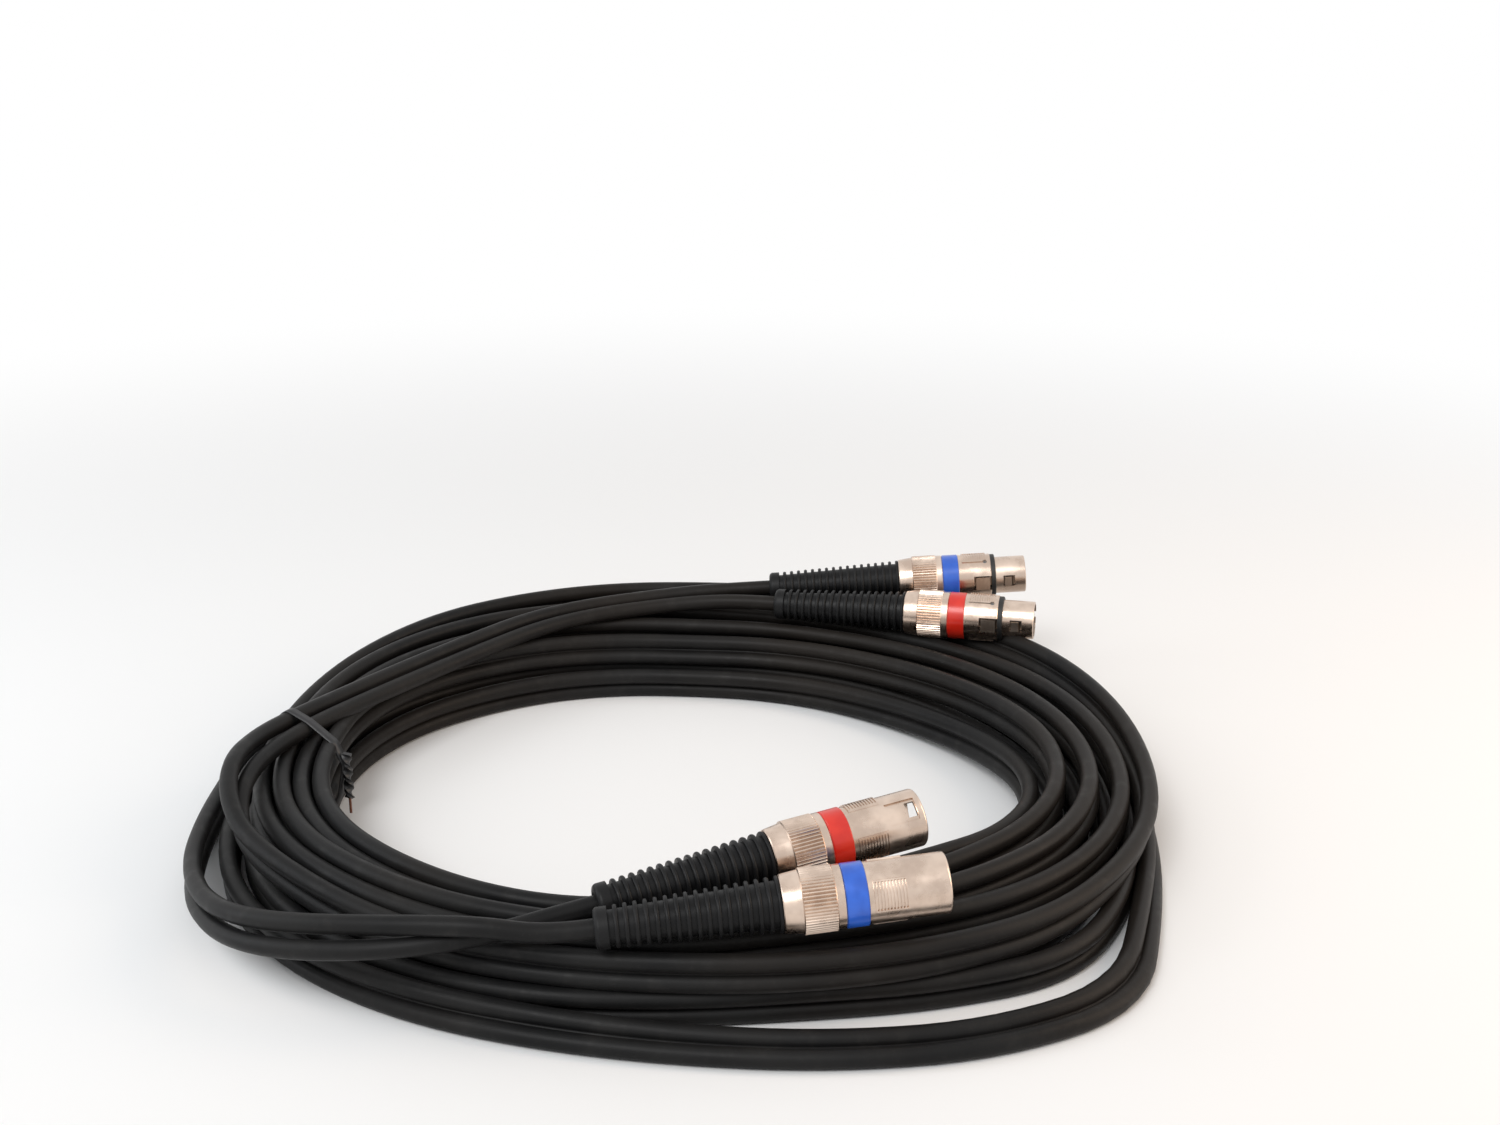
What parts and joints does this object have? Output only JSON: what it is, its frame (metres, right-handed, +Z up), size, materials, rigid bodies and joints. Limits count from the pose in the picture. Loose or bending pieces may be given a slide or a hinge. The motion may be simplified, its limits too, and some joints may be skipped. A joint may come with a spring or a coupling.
{
  "type": "coiled twin microphone cable",
  "caption": "Coiled twin microphone cable held by a twist tie, with red- and blue-ringed metal three-pole connectors on its ends.",
  "frame": {"origin": "bottom centre of the box: the coil's flat-cut underside is on Z = 0", "axes": "+Z up, -Y towards the side that the picture shows, +X to that view's right"},
  "size_m": [0.364, 0.334, 0.0558],
  "materials": {
    "jacket": "matte soft cable jacket",
    "boot_rubber": "smooth semi-matte moulded rubber",
    "nickel": "satin nickel plating",
    "latch_metal": "satin nickel plating",
    "red_ring": "glossy moulded plastic",
    "blue_ring": "glossy moulded plastic",
    "seal_rubber": "matte rubber",
    "insulator": "matte moulded plastic",
    "clamp_plastic": "natural moulded plastic",
    "contact": "silver plating",
    "steel": "plain spring steel",
    "wire_insulation": "smooth insulation",
    "tie": "soft plastic ribbon",
    "tie_core": "dull wire end"
  },
  "bodies": {
    "cable": {"red_male_shell": "nickel", "red_male_colour_ring": "red_ring", "red_male_insert": "insulator", "red_male_pins": "contact", "red_male_chuck": "clamp_plastic", "red_male_wires": "wire_insulation", "red_male_cable_end": "jacket", "red_female_shell": "nickel", "red_female_gasket": "seal_rubber", "red_female_colour_ring": "red_ring", "red_female_insert": "insulator", "red_female_sockets": "contact", "red_female_chuck": "clamp_plastic", "red_female_wires": "wire_insulation", "red_female_cable_end": "jacket", "red_female_latch_pin": "steel", "red_female_latch_spring": "steel", "red_female_insert_screw": "steel", "blue_male_shell": "nickel", "blue_male_colour_ring": "blue_ring", "blue_male_insert": "insulator", "blue_male_pins": "contact", "blue_male_chuck": "clamp_plastic", "blue_male_wires": "wire_insulation", "blue_male_cable_end": "jacket", "blue_female_shell": "nickel", "blue_female_gasket": "seal_rubber", "blue_female_colour_ring": "blue_ring", "blue_female_insert": "insulator", "blue_female_sockets": "contact", "blue_female_chuck": "clamp_plastic", "blue_female_wires": "wire_insulation", "blue_female_cable_end": "jacket", "blue_female_latch_pin": "steel", "blue_female_latch_spring": "steel", "blue_female_insert_screw": "steel", "red_coil": "jacket", "red_female_lead": "jacket", "red_male_lead": "jacket", "blue_coil": "jacket", "blue_female_lead": "jacket", "blue_male_lead": "jacket", "tie_strap": "tie", "tie_twist": "tie", "tie_wire": "tie_core"},
    "red_male_collar": {"red_male_collar": "nickel"},
    "red_male_boot": {"red_male_boot": "boot_rubber"},
    "red_female_collar": {"red_female_collar": "nickel"},
    "red_female_boot": {"red_female_boot": "boot_rubber"},
    "red_female_latch": {"red_female_latch": "latch_metal"},
    "blue_male_collar": {"blue_male_collar": "nickel"},
    "blue_male_boot": {"blue_male_boot": "boot_rubber"},
    "blue_female_collar": {"blue_female_collar": "nickel"},
    "blue_female_boot": {"blue_female_boot": "boot_rubber"},
    "blue_female_latch": {"blue_female_latch": "latch_metal"}
  },
  "joints": [
    {"name": "red_male_collar_back", "type": "slide", "parent": "cable", "child": "red_male_boot", "axis": [-0.9402, -0.32, -0.1165], "range_m": [0, 0.0035]},
    {"name": "red_male_collar_turn", "type": "hinge", "parent": "red_male_boot", "child": "red_male_collar", "pos_m": [0.03669, -0.10491, 0.04155], "axis": [-0.9402, -0.32, -0.1165], "range_deg": [0, 1260.1]},
    {"name": "red_female_collar_back", "type": "slide", "parent": "cable", "child": "red_female_boot", "axis": [-0.9748, 0.2225, -0.0156], "range_m": [0, 0.0035]},
    {"name": "red_female_collar_turn", "type": "hinge", "parent": "red_female_boot", "child": "red_female_collar", "pos_m": [0.09799, 0.11511, 0.03764], "axis": [-0.9748, 0.2225, -0.0156], "range_deg": [0, 1260.1]},
    {"name": "red_female_latch_press", "type": "hinge", "parent": "cable", "child": "red_female_latch", "pos_m": [0.11856, 0.10499, 0.0378], "axis": [-0.023, -0.0306, 0.9993], "range_deg": [0, 5], "stiffness_Nm_per_rad": 0.05},
    {"name": "blue_male_collar_back", "type": "slide", "parent": "cable", "child": "blue_male_boot", "axis": [-0.9895, -0.1195, -0.0812], "range_m": [0, 0.0035]},
    {"name": "blue_male_collar_turn", "type": "hinge", "parent": "blue_male_boot", "child": "blue_male_collar", "pos_m": [0.04067, -0.13434, 0.0402], "axis": [-0.9895, -0.1195, -0.0812], "range_deg": [0, 1260.1]},
    {"name": "blue_female_collar_back", "type": "slide", "parent": "cable", "child": "blue_female_boot", "axis": [-0.9969, 0.0334, -0.0717], "range_m": [0, 0.0035]},
    {"name": "blue_female_collar_turn", "type": "hinge", "parent": "blue_female_boot", "child": "blue_female_collar", "pos_m": [0.09706, 0.14189, 0.04357], "axis": [-0.9969, 0.0334, -0.0717], "range_deg": [0, 1260.1]},
    {"name": "blue_female_latch_press", "type": "hinge", "parent": "cable", "child": "blue_female_latch", "pos_m": [0.11913, 0.13585, 0.04498], "axis": [-0.0728, -0.0325, 0.9968], "range_deg": [0, 5], "stiffness_Nm_per_rad": 0.05}
  ],
  "couplings": [
    {"joint": "red_male_collar_turn", "follows": "red_male_collar_back", "rad_per_m": 6283.2},
    {"joint": "red_female_collar_turn", "follows": "red_female_collar_back", "rad_per_m": 6283.2},
    {"joint": "blue_male_collar_turn", "follows": "blue_male_collar_back", "rad_per_m": 6283.2},
    {"joint": "blue_female_collar_turn", "follows": "blue_female_collar_back", "rad_per_m": 6283.2}
  ]
}
